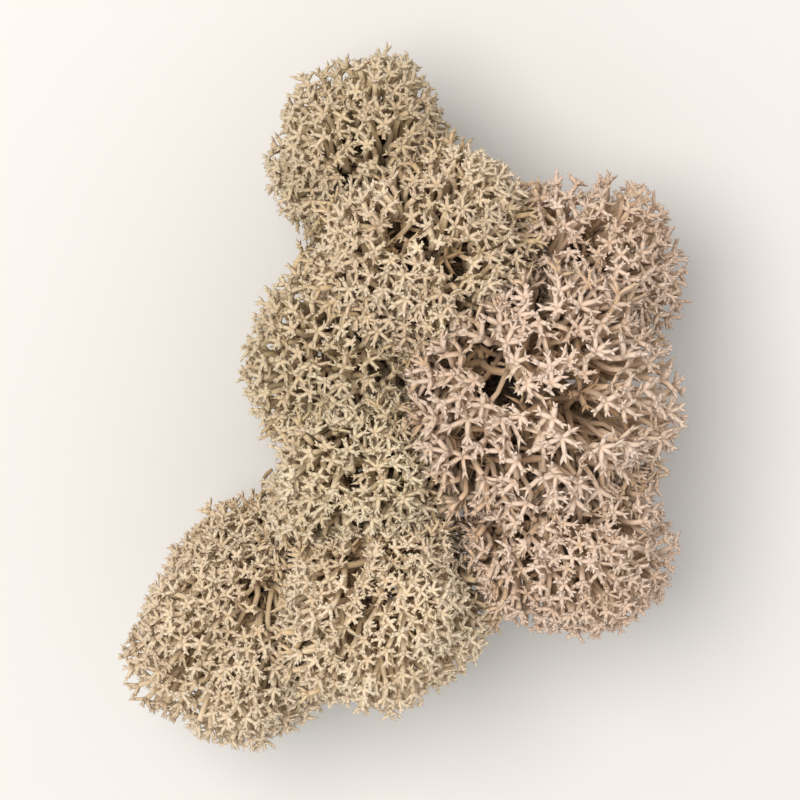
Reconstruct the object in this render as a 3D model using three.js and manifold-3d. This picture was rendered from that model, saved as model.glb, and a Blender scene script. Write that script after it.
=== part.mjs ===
// A clump of reindeer moss, a pale branching lichen, lying stalks down on a table.
// Nine separate lichen plants stand side by side and lean on each other. Each one is a sheaf of stalks that
// starts at a small flat foot, fans out upwards and ends in a rounded head of forked branchlets.
// Units are millimetres, +Z is up, and the resting surface is z = 0.

import * as THREE from "three";
import { mergeVertices } from "three/addons/utils/BufferGeometryUtils.js";
import Module from "manifold-3d";

const wasm = await Module();
wasm.setup();

// Driving dimensions
const FOOT_SPREAD = 0.6; // how far out a foot stands, as a share of how far out its head is
const FOOT_RADIUS = 2.6;
const STALK_RADIUS = 0.95;
const STALKS_PER_HEAD = 5;
const STALK_BEND = 1.5; // how late the stalks turn outwards: 1 is a straight sheaf
const BRANCHLET_REACH = 3.0; // how far the branchlets stand out of the dense middle of a head
const BRANCHLET_SPACING = 2.8; // the least distance between the roots of two branchlets
const LUMP_HEIGHT = 2.2; // the lumps that the branchlets gather into
const HEAD_GAP = 0.45; // half the gap between the dense middles of two heads
const TIP_GAP = 0.2; // half the gap between the branchlets of two heads
const TOP_SLACK = 0.3; // how far a tip may pass the top given for its head

// One row for each head. x and y say where it lies, seen from above, radius and top how far it reaches,
// crown how tall its domed half is as a share of the radius, and variant picks one of its chance forms.
const HEADS = [
  { name: "head_front", x: 16.0, y: 2.4, radius: 15.2, top: 42.0, crown: 0.8, variant: 5, color: 0xd3b494 },
  { name: "head_right", x: 19.8, y: -14.8, radius: 12.0, top: 38.5, crown: 0.85, variant: 11, color: 0xd0b193 },
  { name: "head_low", x: -2.6, y: -22.8, radius: 12.2, top: 41.0, crown: 0.9, variant: 4, color: 0xd6bd92 },
  { name: "head_middle", x: -5.0, y: -8.0, radius: 10.8, top: 37.5, crown: 0.9, variant: 5, color: 0xcdb78c },
  { name: "head_corner", x: -19.6, y: -28.0, radius: 12.4, top: 34.5, crown: 0.85, variant: 6, color: 0xd8bb88 },
  { name: "head_upper", x: 3.0, y: 18.2, radius: 13.2, top: 38.0, crown: 0.82, variant: 7, color: 0xd2b78f },
  { name: "head_top", x: -4.2, y: 30.2, radius: 10.8, top: 32.0, crown: 0.9, variant: 8, color: 0xcbb38b },
  { name: "head_edge", x: 22.0, y: 16.6, radius: 10.6, top: 33.0, crown: 0.9, variant: 11, color: 0xcfae90 },
  { name: "head_back", x: -7.4, y: 6.0, radius: 11.4, top: 33.0, crown: 0.9, variant: 10, color: 0xc2ae84 },
];

// The two open pits of the front head, where coarser branches stand apart. Each is given seen from above:
// its middle, half its length, half its width, and which way its length runs, in degrees from +X.
const PITS = [
  { head: "head_front", x: 21.3, y: 2.4, halfLength: 3.6, halfWidth: 1.3, turn: 117 },
  { head: "head_front", x: 10.9, y: 4.8, halfLength: 2.3, halfWidth: 1.3, turn: 135 },
];
const PIT_DEPTH = 5.5; // how far the dense middle of the head sinks under a pit
const PIT_RIM = 2.2; // how far the slope into a pit reaches beyond its edge

const SEED = 20250;
const GOLDEN_ANGLE = Math.PI * (3 - Math.sqrt(5));

// A repeatable stream of numbers from 0 to 1
function makeRandom(seed) {
  let state = seed >>> 0;
  return () => {
    state = (state + 0x6d2b79f5) >>> 0;
    let mixed = Math.imul(state ^ (state >>> 15), 1 | state);
    mixed = (mixed + Math.imul(mixed ^ (mixed >>> 7), 61 | mixed)) ^ mixed;
    return ((mixed ^ (mixed >>> 14)) >>> 0) / 4294967296;
  };
}

// The height of the widest ring of a head, where the dome ends and the underside begins
function widestHeight(head) {
  return head.top - head.radius * head.crown;
}

// The middle line of a plant at a height, seen from above: it stands up from its foot and leans outwards
function axisAt(head, z) {
  const share = THREE.MathUtils.clamp(z / widestHeight(head), 0, 1) ** STALK_BEND;
  const out = FOOT_SPREAD + (1 - FOOT_SPREAD) * share;
  return new THREE.Vector2(head.x * out, head.y * out);
}

// The square of the radius that a head's tips fill at a height. It falls below zero above its top.
const UNDERSIDE_DEPTH = 1.35; // how deep the underside of a head is, as a share of its radius
const SHEAF_RADIUS = 3.2; // the room that the stalks keep below the head
function reachSquared(head, z) {
  const fromWidest = z - widestHeight(head);
  const halfHeight = fromWidest > 0 ? head.radius * head.crown : head.radius * UNDERSIDE_DEPTH;
  const dome = head.radius ** 2 * (1 - (fromWidest / halfHeight) ** 2);
  return fromWidest > 0 ? dome : Math.max(dome, SHEAF_RADIUS ** 2);
}

// How far a point may go from a head's middle line, along a level direction, before it meets the next
// head. Two heads share the space between them along the line where both have the same claim to it.
function roomAlong(head, z, direction) {
  const middle = axisAt(head, z);
  let room = Infinity;
  for (const other of HEADS) {
    if (other === head) continue;
    const toOther = axisAt(other, z).sub(middle);
    const distance = toOther.length();
    const border = (distance ** 2 + reachSquared(head, z) - reachSquared(other, z)) / (2 * distance);
    const facing = direction.dot(toOther) / distance;
    if (facing > 0) room = Math.min(room, (border - HEAD_GAP) / facing);
  }
  return room;
}

// Whether a point lies on a head's own side of every border, by at least a margin
function isInRoom(head, point, margin) {
  const flat = new THREE.Vector2(point.x, point.y);
  const middle = axisAt(head, point.z);
  const claim = flat.distanceToSquared(middle) - reachSquared(head, point.z);
  return HEADS.every((other) => {
    if (other === head) return true;
    const otherMiddle = axisAt(other, point.z);
    const otherClaim = flat.distanceToSquared(otherMiddle) - reachSquared(other, point.z);
    return otherClaim - claim > 2 * margin * middle.distanceTo(otherMiddle);
  });
}

// How deep in a pit a place lies: 0 on its rim and outside it, 1 at its middle
function pitShare(head, x, y) {
  const shares = PITS.filter((pit) => pit.head === head.name).map((pit) => {
    const place = new THREE.Vector2(x - pit.x, y - pit.y);
    place.rotateAround(new THREE.Vector2(), -THREE.MathUtils.degToRad(pit.turn));
    const lengthwise = place.x / (pit.halfLength + PIT_RIM);
    const crosswise = place.y / (pit.halfWidth + PIT_RIM);
    return 1 - Math.hypot(lengthwise, crosswise) ** 3;
  });
  return Math.max(0, ...shares);
}

// The corners and faces of a closed three.js shape, with each corner kept once
const CORNER_MERGE = 1e-3; // corners closer than this are one
function mergedShape(geometry) {
  const bare = geometry.clone();
  bare.deleteAttribute("normal");
  bare.deleteAttribute("uv");
  return mergeVertices(bare, CORNER_MERGE);
}

// A closed shape as a solid that can be joined to others
function solidOf(geometry) {
  const merged = mergedShape(geometry);
  return new wasm.Manifold(new wasm.Mesh({
    numProp: 3,
    vertProperties: new Float32Array(merged.attributes.position.array),
    triVerts: new Uint32Array(merged.index.array),
  }));
}

function geometryOf(solid) {
  const mesh = solid.getMesh();
  const geometry = new THREE.BufferGeometry();
  geometry.setAttribute("position", new THREE.BufferAttribute(mesh.vertProperties, mesh.numProp));
  geometry.setIndex(new THREE.BufferAttribute(mesh.triVerts, 1));
  geometry.computeVertexNormals();
  return geometry;
}

// The largest skin of a solid. Where two branchlets close off a small hollow between them, the hollow's
// own skin is dropped with this, so that it is filled.
function outerSkin(solid) {
  return solid.decompose().sort((a, b) => b.volume() - a.volume())[0];
}

// All the solids of a plant as one body. Slivers thinner than SLIVER, which joining leaves along the
// seams, are closed up.
const SLIVER = 0.006;
function fuse(solids) {
  const joined = wasm.Manifold.union(solids).simplify(SLIVER);
  return outerSkin(solidOf(geometryOf(outerSkin(joined))));
}

// The dense middle of a head: a lumpy dome over a rounded underside, pressed flat where it meets the
// next head, and sunk under the pits. It is a ball of even facets, whose corners are moved to this shape.
const LUMPS_PER_HEAD = 8;
const LUMP_WIDTH = 0.7; // radians
const LUMP_BAND = 1.5; // how far down from its top a unit ball bears lumps
const LUMP_JITTER = 0.5; // radians
const FACET_SIZE = 3.3; // the length of a facet's edge
const ICOSAHEDRON_EDGE = 1.05; // of an icosahedron of radius 1
function middleGeometry(head, random) {
  const lumps = [];
  for (let i = 0; i < LUMPS_PER_HEAD; i += 1) {
    const up = 1 - (LUMP_BAND * (i + 0.5)) / LUMPS_PER_HEAD;
    const turn = i * GOLDEN_ANGLE + random() * LUMP_JITTER;
    const side = Math.sqrt(1 - up * up);
    lumps.push(new THREE.Vector3(Math.cos(turn) * side, Math.sin(turn) * side, up));
  }
  const radius = head.radius - BRANCHLET_REACH;
  const rise = head.radius * head.crown - BRANCHLET_REACH;
  const drop = head.radius * UNDERSIDE_DEPTH - BRANCHLET_REACH;

  const splits = Math.max(1, Math.round((radius * ICOSAHEDRON_EDGE) / FACET_SIZE));
  const ball = mergedShape(new THREE.IcosahedronGeometry(1, splits));
  const corners = ball.attributes.position;
  for (let corner = 0; corner < corners.count; corner += 1) {
    const direction = new THREE.Vector3().fromBufferAttribute(corners, corner).normalize();
    const nearest = Math.min(...lumps.map((lump) => lump.angleTo(direction)));
    const swell = LUMP_HEIGHT * (Math.max(0, 1 - (nearest / LUMP_WIDTH) ** 2) - 0.5);
    const z = widestHeight(head) + direction.z * ((direction.z > 0 ? rise : drop) + swell);
    const level = new THREE.Vector2(direction.x, direction.y);
    const wanted = level.length() * (radius + swell);
    level.normalize();
    const point = axisAt(head, z).addScaledVector(level, Math.min(wanted, roomAlong(head, z, level)));
    const sunk = direction.z > 0 ? PIT_DEPTH * pitShare(head, point.x, point.y) : 0;
    corners.setXYZ(corner, point.x, point.y, z - sunk);
  }
  return ball;
}

// The foot: a short stump where the lower ends of the stalks are matted together, flat underneath
const FOOT_SIDES = 8;
const FOOT_HEIGHT = 5;
const FOOT_TOP_SHARE = 0.62; // its width at the top, as a share of that at the bottom
function footSolid(head) {
  const middle = axisAt(head, 0);
  const topRadius = FOOT_RADIUS * FOOT_TOP_SHARE;
  const stump = new THREE.CylinderGeometry(topRadius, FOOT_RADIUS, FOOT_HEIGHT, FOOT_SIDES);
  stump.rotateX(Math.PI / 2);
  stump.translate(middle.x, middle.y, FOOT_HEIGHT / 2);
  return solidOf(stump);
}

// A stalk: a slim tube that starts inside the foot, stands up from it and bends outwards into the head
const STALK_SIDES = 4;
const STALK_STEPS = 3;
const STALK_START = 1.5; // above the resting surface
const STALK_RING = 1.0; // from the middle of the foot to a stalk
const STALK_FAN = 0.55; // how far out the stalks reach in the head, as a share of its radius
const STALK_END = 0.25; // how far below the widest ring of the head they end, as a share of its radius
const STALK_KNEE = 0.4; // the height at which they turn outwards, as a share of their own
const KNEE_RING = 2.0; // from the middle of the foot to a stalk's knee
function stalkSolid(head, turn) {
  const level = new THREE.Vector2(Math.cos(turn), Math.sin(turn));
  const endHeight = widestHeight(head) - head.radius * STALK_END;
  const room = roomAlong(head, endHeight, level) - 2 * STALK_RADIUS;
  const foot = axisAt(head, 0).addScaledVector(level, STALK_RING);
  const knee = axisAt(head, 0).addScaledVector(level, KNEE_RING);
  const end = axisAt(head, endHeight).addScaledVector(level, Math.min(head.radius * STALK_FAN, room));
  const path = new THREE.QuadraticBezierCurve3(
    new THREE.Vector3(foot.x, foot.y, STALK_START),
    new THREE.Vector3(knee.x, knee.y, endHeight * STALK_KNEE),
    new THREE.Vector3(end.x, end.y, endHeight),
  );
  const section = new THREE.Shape();
  for (let side = 0; side < STALK_SIDES; side += 1) {
    const angle = (side / STALK_SIDES) * 2 * Math.PI;
    const corner = [Math.cos(angle) * STALK_RADIUS, Math.sin(angle) * STALK_RADIUS];
    if (side === 0) section.moveTo(...corner);
    else section.lineTo(...corner);
  }
  section.closePath();
  return solidOf(new THREE.ExtrudeGeometry(section, { steps: STALK_STEPS, extrudePath: path }));
}

// A forked branchlet: a three-sided stem, rooted at the origin and pointing along +Z, that widens and
// splits into three prongs, like a small star
const ROOT_DEPTH = 1.2;
const ROOT_RADIUS = 0.6;
const FORK_RADIUS = 1.15;
const FORK_SHARE = 0.55; // where the stem forks, as a share of the reach
const PRONG_SPREAD = 2.1;
const PRONG_STEP = 0.07; // each prong ends a little lower than the one before, as a share of the reach
const HUB_HEIGHT = 0.35; // how far the middle of the star rises above the fork, which keeps its prongs thick
function branchletGeometry(reach) {
  const forkHeight = reach * FORK_SHARE;
  const positions = [];
  const corner = (index, radius, z, turn) => {
    const angle = ((index + turn) / 3) * 2 * Math.PI;
    positions.push(Math.cos(angle) * radius, Math.sin(angle) * radius, z);
  };
  for (let i = 0; i < 3; i += 1) corner(i, ROOT_RADIUS, -ROOT_DEPTH, 0);
  for (let i = 0; i < 3; i += 1) corner(i, FORK_RADIUS, forkHeight, 0);
  for (let i = 0; i < 3; i += 1) corner(i, PRONG_SPREAD, reach * (1 - PRONG_STEP * (2 - i)), 0.5);
  positions.push(0, 0, forkHeight + HUB_HEIGHT);
  const hub = 9;
  const triangles = [0, 2, 1];
  for (let i = 0; i < 3; i += 1) {
    const next = (i + 1) % 3;
    triangles.push(i, next, 3 + next);
    triangles.push(i, 3 + next, 3 + i);
    triangles.push(3 + i, 3 + next, 6 + i);
    triangles.push(3 + next, hub, 6 + i);
    triangles.push(hub, 3 + i, 6 + i);
  }
  const geometry = new THREE.BufferGeometry();
  geometry.setAttribute("position", new THREE.Float32BufferAttribute(positions, 3));
  geometry.setIndex(triangles);
  return geometry;
}

// Whether every corner of a branchlet is in its own head's room
function fits(head, geometry) {
  const corners = geometry.attributes.position;
  for (let corner = 0; corner < corners.count; corner += 1) {
    const point = new THREE.Vector3().fromBufferAttribute(corners, corner);
    if (point.z > head.top + TOP_SLACK || !isInRoom(head, point, TIP_GAP)) return false;
  }
  return true;
}

// A branchlet that grows from a root in a direction
const UP = new THREE.Vector3(0, 0, 1);
function placedBranchlet(root, direction, reach, turn) {
  const place = new THREE.Object3D();
  place.position.copy(root);
  place.quaternion.setFromUnitVectors(UP, direction);
  place.rotateZ(turn);
  place.updateMatrix();
  return branchletGeometry(reach).applyMatrix4(place.matrix);
}

// The branchlets of a head: each grows from the middle of a facet. They cover the whole of its open
// surface but the pits, no two roots closer than the spacing. Next to another head they turn upwards,
// away from it, and where even that leaves no room there is none.
const LOWEST_SLOPE = -0.7; // the upward part of a facet's normal, below which it bears no branchlet
const BARE_IN_PIT = 0.3; // how deep in a pit, as a share of it, no branchlets grow
const LEAN = 0.25; // how far a branchlet leans from straight out
const SHORTEST = 0.85; // the shortest and the longest branchlet, as shares of the reach
const LONGEST = 1.15;
const UPWARD_TURNS = [0, 0.5, 1.1]; // how far it turns upwards, in the order in which they are tried
const SHORTEN = 0.15; // what each turn takes off its length, as a share
function branchletSolids(head, middle, random) {
  const corners = middle.attributes.position;
  const facets = [];
  for (let first = 0; first < middle.index.count; first += 3) {
    const facet = new THREE.Triangle();
    facet.setFromAttributeAndIndices(corners, ...[0, 1, 2].map((i) => middle.index.getX(first + i)));
    facets.push({ facet, order: random() });
  }
  facets.sort((one, other) => one.order - other.order);

  const roots = [];
  const solids = [];
  for (const { facet } of facets) {
    const root = facet.getMidpoint(new THREE.Vector3());
    const outward = facet.getNormal(new THREE.Vector3());
    if (outward.z < LOWEST_SLOPE) continue;
    if (outward.z > 0 && pitShare(head, root.x, root.y) > BARE_IN_PIT) continue;
    if (roots.some((other) => other.distanceTo(root) < BRANCHLET_SPACING)) continue;

    const lean = new THREE.Vector3(random() - 0.5, random() - 0.5, random() - 0.5);
    const reach = BRANCHLET_REACH * THREE.MathUtils.lerp(SHORTEST, LONGEST, random());
    const turn = random() * 2 * Math.PI;
    for (const [attempt, upward] of UPWARD_TURNS.entries()) {
      const direction = outward.clone().addScaledVector(lean, 2 * LEAN).addScaledVector(UP, upward);
      const shortened = reach * (1 - SHORTEN * attempt);
      const geometry = placedBranchlet(root, direction.normalize(), shortened, turn);
      if (!fits(head, geometry)) continue;
      roots.push(root);
      solids.push(solidOf(geometry));
      break;
    }
  }
  return solids;
}

function makeHead(head) {
  const random = makeRandom(SEED + head.variant);
  const middle = middleGeometry(head, random);
  const firstTurn = random() * 2 * Math.PI;
  const solids = [solidOf(middle), footSolid(head)];
  for (let i = 0; i < STALKS_PER_HEAD; i += 1) {
    solids.push(stalkSolid(head, firstTurn + (i / STALKS_PER_HEAD) * 2 * Math.PI));
  }
  solids.push(...branchletSolids(head, middle, random));

  const material = new THREE.MeshStandardMaterial({ color: head.color, roughness: 0.95, metalness: 0 });
  const mesh = new THREE.Mesh(geometryOf(fuse(solids)), material);
  mesh.name = head.name;
  return mesh;
}

const group = new THREE.Group();
HEADS.forEach((head) => group.add(makeHead(head)));

export default group;
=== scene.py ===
# %% [markdown]
# # A clump of preserved reindeer moss
# Reindeer moss is a lichen. Each plant is a small tree without leaves: a few grey stalks part again and
# again into finer and paler branches, and every branch ends in a star of short points. Nine such plants
# stand side by side here, and their stars close up into rounded, springy heads.
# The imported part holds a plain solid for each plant. This lesson sets up a camera, a floor and a lamp, and
# grows a finer plant in the place of each solid, with the same outline.

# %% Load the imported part
import math
from dataclasses import dataclass

import bpy
import numpy as np
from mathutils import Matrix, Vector


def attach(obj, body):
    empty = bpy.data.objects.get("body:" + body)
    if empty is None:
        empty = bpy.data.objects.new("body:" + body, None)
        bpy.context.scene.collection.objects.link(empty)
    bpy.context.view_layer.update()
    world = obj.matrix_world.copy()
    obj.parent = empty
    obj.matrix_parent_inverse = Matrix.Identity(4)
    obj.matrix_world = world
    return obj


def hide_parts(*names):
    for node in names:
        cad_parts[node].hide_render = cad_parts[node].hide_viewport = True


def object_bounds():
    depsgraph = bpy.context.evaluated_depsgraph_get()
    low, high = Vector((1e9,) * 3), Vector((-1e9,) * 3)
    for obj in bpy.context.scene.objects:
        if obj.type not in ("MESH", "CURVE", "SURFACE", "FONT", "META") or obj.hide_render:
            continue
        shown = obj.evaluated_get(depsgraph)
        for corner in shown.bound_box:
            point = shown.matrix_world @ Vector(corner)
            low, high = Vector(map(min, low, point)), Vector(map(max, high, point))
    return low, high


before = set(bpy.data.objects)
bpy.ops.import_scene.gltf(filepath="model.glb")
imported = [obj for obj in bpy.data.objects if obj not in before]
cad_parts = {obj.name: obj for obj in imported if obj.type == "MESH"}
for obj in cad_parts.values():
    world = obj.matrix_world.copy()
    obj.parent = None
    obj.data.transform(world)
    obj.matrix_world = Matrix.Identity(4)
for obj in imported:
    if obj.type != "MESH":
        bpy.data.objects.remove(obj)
cad_low, cad_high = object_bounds()
print("The plain part measures", [round(1000 * side, 1) for side in cad_high - cad_low], "mm")

# %% [markdown]
# ## Camera, floor and light
# The clump is seen from above, with the camera leaning a little towards its far side, as in the picture
# that it was made from. A long lens keeps the heads in front from looking larger than the others.
# A moss clump is nearly all small gaps, so its look depends on the light: one large soft lamp gives the
# heads their roundness, and the pale surroundings let a little light into the gaps.

# %% Place the camera
def placed(name, data):
    """A new object that stands in the scene."""
    new_object = bpy.data.objects.new(name, data)
    bpy.context.scene.collection.objects.link(new_object)
    return new_object


CAMERA_LEAN = math.radians(10)
LENS = 200
SENSOR = 36
CLUMP_SHARE = 0.86  # how much of the picture's height the clump takes up

middle = (cad_low + cad_high) / 2
seen_height = (cad_high.y - cad_low.y) / CLUMP_SHARE
distance = seen_height * LENS / SENSOR

camera_data = bpy.data.cameras.new("camera")
camera_data.lens = LENS
camera_data.sensor_width = SENSOR
camera = placed("camera", camera_data)
camera.location = middle + distance * Vector((0, math.sin(CAMERA_LEAN), math.cos(CAMERA_LEAN)))
camera.rotation_euler = (-CAMERA_LEAN, 0, 0)
bpy.context.scene.camera = camera
print(f"The camera stands {distance:.2f} m away")

# %% Lay the floor
FLOOR_HALF = 1.5
FLOOR_SURFACE = {"Base Color": (0.62, 0.61, 0.60, 1), "Roughness": 0.9}


def set_inputs(node, values):
    """Sets several inputs of a node by name."""
    for name, value in values.items():
        node.inputs[name].default_value = value


def new_material(name, surface):
    """A material with these values in its shader."""
    material = bpy.data.materials.new(name)
    material.use_nodes = True
    set_inputs(material.node_tree.nodes["Principled BSDF"], surface)
    return material


floor_mesh = bpy.data.meshes.new("floor")
floor_corners = [(x * FLOOR_HALF, y * FLOOR_HALF, 0) for x, y in ((-1, -1), (1, -1), (1, 1), (-1, 1))]
floor_mesh.from_pydata(floor_corners, [], [(0, 1, 2, 3)])
floor_mesh.materials.append(new_material("pale_floor", FLOOR_SURFACE))
floor = placed("floor", floor_mesh)
print("The floor is", 2 * FLOOR_HALF, "m across")

# %% Light the scene
SKY = {"Color": (1.0, 0.985, 0.96, 1), "Strength": 0.83}
LAMP_PLACE = Vector((-0.22, 0.20, 0.80))
LAMP_SIZE = 0.5
LAMP_POWER = 6.2
LAMP_COLOUR = (1.0, 0.965, 0.91)

bpy.context.scene.view_settings.view_transform = "Standard"  # shows the colours as they are mixed
world = bpy.data.worlds.new("studio")
world.use_nodes = True
set_inputs(world.node_tree.nodes["Background"], SKY)
bpy.context.scene.world = world

lamp_data = bpy.data.lights.new("soft_lamp", "AREA")
lamp_data.shape = "DISK"
lamp_data.size = LAMP_SIZE
lamp_data.energy = LAMP_POWER
lamp_data.color = LAMP_COLOUR
lamp = placed("soft_lamp", lamp_data)
lamp.location = LAMP_PLACE
lamp.rotation_euler = (middle - LAMP_PLACE).to_track_quat("-Z", "Y").to_euler()
print("One soft lamp and a pale sky")

# %% [markdown]
# ## Where each plant stands
# The plants crowd each other, so none is a whole ball. Each head is a dome over a deeper underside, its
# middle line leans outwards from the foot, and two heads share the space between them along a border that
# both reach equally. These are the rules that shaped the plain solids, so the fine plants keep their form.
# All lengths in the growing code are millimetres, and they turn into metres when a mesh is made.

# %% List the plants


@dataclass
class Plant:
    """One plant. x, y, radius, top and crown place its head, and variant picks its lumps."""

    name: str
    x: float
    y: float
    radius: float
    top: float
    crown: float  # the height of the dome, as a share of the radius
    variant: int
    slot: str
    spacing: float  # between two stars
    star: float  # the size of a star, 1 being the usual one
    openness: float  # the size of the holes in its net, 1 being the usual one
    dullness: float  # of its colours on the whole, from 0 to 1


PLANTS = [
    Plant("head_front", 16.0, 2.4, 15.2, 42.0, 0.8, 5, "moss_pinkish", 2.24, 1.22, 0.8, 0.3),
    Plant("head_right", 19.8, -14.8, 12.0, 38.5, 0.85, 11, "moss_pinkish", 1.5, 0.8, 0.6, 0.43),
    Plant("head_low", -2.6, -22.8, 12.2, 41.0, 0.9, 4, "moss_cream", 1.43, 0.76, 0.22, 0.17),
    Plant("head_middle", -5.0, -8.0, 10.8, 37.5, 0.9, 5, "moss_greenish", 1.64, 0.87, 0.42, 0.2),
    Plant("head_corner", -19.6, -28.0, 12.4, 34.5, 0.85, 6, "moss_cream", 1.54, 0.8, 0.56, 0.28),
    Plant("head_upper", 3.0, 18.2, 13.2, 38.0, 0.82, 7, "moss_cream", 1.54, 0.82, 0.28, 0.64),
    Plant("head_top", -4.2, 30.2, 10.8, 32.0, 0.9, 8, "moss_greenish", 1.58, 0.83, 0.45, 0.9),
    Plant("head_edge", 22.0, 16.6, 10.6, 33.0, 0.9, 11, "moss_pinkish", 1.58, 0.82, 0.35, 0.5),
    Plant("head_back", -7.4, 6.0, 11.4, 33.0, 0.9, 10, "moss_greenish", 1.66, 0.86, 0.45, 0.62),
]
print(len(PLANTS), "plants")

# %% Share the space between the heads
FOOT_SPREAD = 0.6  # how far out a foot stands, as a share of how far out its head is
STALK_BEND = 1.5  # how late the stalks turn outwards: 1 is a straight sheaf
UNDERSIDE_DEPTH = 1.35  # how deep the underside of a head is, as a share of its radius
SHEAF_RADIUS = 3.2  # the room that the stalks keep below the head


def widest_height(plant):
    """The height of a head's widest ring."""
    return plant.top - plant.radius * plant.crown


def axis_at(plant, heights):
    """The middle line of a plant at some heights, seen from above."""
    share = np.clip(heights / widest_height(plant), 0, 1) ** STALK_BEND
    out = FOOT_SPREAD + (1 - FOOT_SPREAD) * share
    return np.stack([plant.x * out, plant.y * out], axis=-1)


def reach_squared(plant, heights):
    """The square of the radius that a head's tips fill at some heights."""
    from_widest = heights - widest_height(plant)
    half_height = np.where(from_widest > 0, plant.radius * plant.crown, plant.radius * UNDERSIDE_DEPTH)
    dome = plant.radius**2 * (1 - (from_widest / half_height) ** 2)
    return np.where(from_widest > 0, dome, np.maximum(dome, SHEAF_RADIUS**2))


def room_along(plant, heights, level_ways, gap):
    """How far points may go from a plant's middle line, along level directions, before the next head."""
    middles = axis_at(plant, heights)
    room = np.full(len(heights), np.inf)
    for other in PLANTS:
        if other is plant:
            continue
        to_other = axis_at(other, heights) - middles
        apart = np.linalg.norm(to_other, axis=1)
        border = (apart**2 + reach_squared(plant, heights) - reach_squared(other, heights)) / (2 * apart)
        facing = (level_ways * to_other).sum(axis=1) / apart
        ahead = facing > 1e-6
        room[ahead] = np.minimum(room[ahead], (border[ahead] - gap) / facing[ahead])
    return room


print(f"The first head is widest {widest_height(PLANTS[0]):.1f} mm up")

# %% [markdown]
# ## The outside of a head
# A head isn't a smooth dome. Its branches gather into lumps, each the crown of one stalk, so the outside
# is a dome with eight low swellings. The chance numbers that turn the lumps are the same as in the plain
# solid, which is why they are drawn with a small generator of their own.

# %% Shape the lumpy outside
LUMP_SEED = 20250  # the same as in the plain solids
LUMPS_PER_HEAD = 8
LUMP_HEIGHT = 2.2
LUMP_SINK = 0.5  # how far below the dome the outside lies between two lumps, as a share of that height
LUMP_WIDTH = 0.7  # radians
LUMP_BAND = 1.5  # how far down from its top a unit ball bears lumps
LUMP_JITTER = 0.5  # radians
LEAST_ROOM = 0.5  # what is left to a head where its neighbours press hardest
GOLDEN_ANGLE = math.pi * (3 - math.sqrt(5))
WORD = 0xFFFFFFFF


def chance_numbers(seed, count):
    """Numbers from 0 to 1, drawn with 32-bit arithmetic."""
    state = seed
    numbers = []
    for _ in range(count):
        state = (state + 0x6D2B79F5) & WORD
        mixed = ((state ^ (state >> 15)) * (1 | state)) & WORD
        mixed = ((mixed + (mixed ^ (mixed >> 7)) * (61 | mixed)) & WORD) ^ mixed
        numbers.append((mixed ^ (mixed >> 14)) / (WORD + 1))
    return numbers


def lumps_of(plant):
    """Directions in which a head swells out."""
    lumps = []
    for i, chance in enumerate(chance_numbers(LUMP_SEED + plant.variant, LUMPS_PER_HEAD)):
        up = 1 - LUMP_BAND * (i + 0.5) / LUMPS_PER_HEAD
        turn = i * GOLDEN_ANGLE + chance * LUMP_JITTER
        side = math.sqrt(1 - up * up)
        lumps.append((math.cos(turn) * side, math.sin(turn) * side, up))
    return np.array(lumps)


def unit(vectors):
    """Vectors of length 1 in the same directions."""
    return vectors / np.maximum(np.linalg.norm(vectors, axis=-1, keepdims=True), 1e-9)


def outside_of(plant, ways, inset, gap):
    """Points on a head's outside, in directions from its middle, and how far each is pressed in."""
    nearest = np.arccos(np.clip(ways @ lumps_of(plant).T, -1, 1)).min(axis=1)
    swell = LUMP_HEIGHT * (np.clip(1 - (nearest / LUMP_WIDTH) ** 2, 0, None) - LUMP_SINK)
    depth = np.where(ways[:, 2] > 0, plant.radius * plant.crown, plant.radius * UNDERSIDE_DEPTH)
    heights = widest_height(plant) + ways[:, 2] * (depth - inset + swell)
    wanted = np.linalg.norm(ways[:, :2], axis=1) * (plant.radius - inset + swell)
    level_ways = unit(ways[:, :2])
    room = np.maximum(room_along(plant, heights, level_ways, gap), LEAST_ROOM)
    level = axis_at(plant, heights) + level_ways * np.minimum(wanted, room)[:, None]
    return np.column_stack([level, heights]), wanted - room


print("The first lump of the first head points to", lumps_of(PLANTS[0])[0].round(3))

# %% [markdown]
# ## Uneven patches
# From patch to patch a lichen's net is closer or wider and its colour paler or duller. A noise texture could
# give the colour, but the net has to be known while the stars are placed. So a few sine waves in chance
# directions are added up, once for the net and twice for the colour.

# %% Draw waves through the clump
SEED = 20250
WAVES = 6
WAVE_PACE = 2  # how far a wave runs on over one patch, in radians


def wave(seed, patch_size):
    """A function of place that wanders between -1 and 1, in patches of about the given size."""
    random = np.random.default_rng(seed)
    ways = random.normal(0, WAVE_PACE / patch_size, (WAVES, 3))
    starts = random.uniform(0, 2 * math.pi, WAVES)
    return lambda points: np.clip(np.sin(points @ ways.T + starts).sum(axis=1) / (WAVES / 2), -1, 1)


net_wave = wave(SEED, patch_size=10)
broad_tint_wave = wave(SEED + 1, patch_size=10)
fine_tint_wave = wave(SEED + 2, patch_size=3.5)
print("At the origin the net wave is", net_wave(np.zeros((1, 3)))[0].round(2))

# %% [markdown]
# ## Cushions
# Between a whole head and a single star there is one more size. The stars that share a twig stand together
# in a small cushion, with a shallow valley round it where there are fewer of them and they sit lower, and
# where their tips get older, darker colours as painted shade. Where three cushions meet, the net stays
# open, and one looks through a dark hole into the head. Every place on a head belongs to the nearest of some
# evenly spread centres, so the borders follow from distances alone.

# %% Part the heads into cushions
CUSHION_SIZE = 6.6  # from the middle of one cushion to that of the next
CUSHION_JITTER = 0.35  # of that size


def even_ways(count, lowest):
    """Directions spread evenly over a ball, down to the given height."""
    steps = np.arange(count) + 0.5
    up = 1 - steps * (1 - lowest) / count
    turns = steps * GOLDEN_ANGLE
    side = np.sqrt(1 - up**2)
    return np.column_stack([np.cos(turns) * side, np.sin(turns) * side, up])


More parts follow.
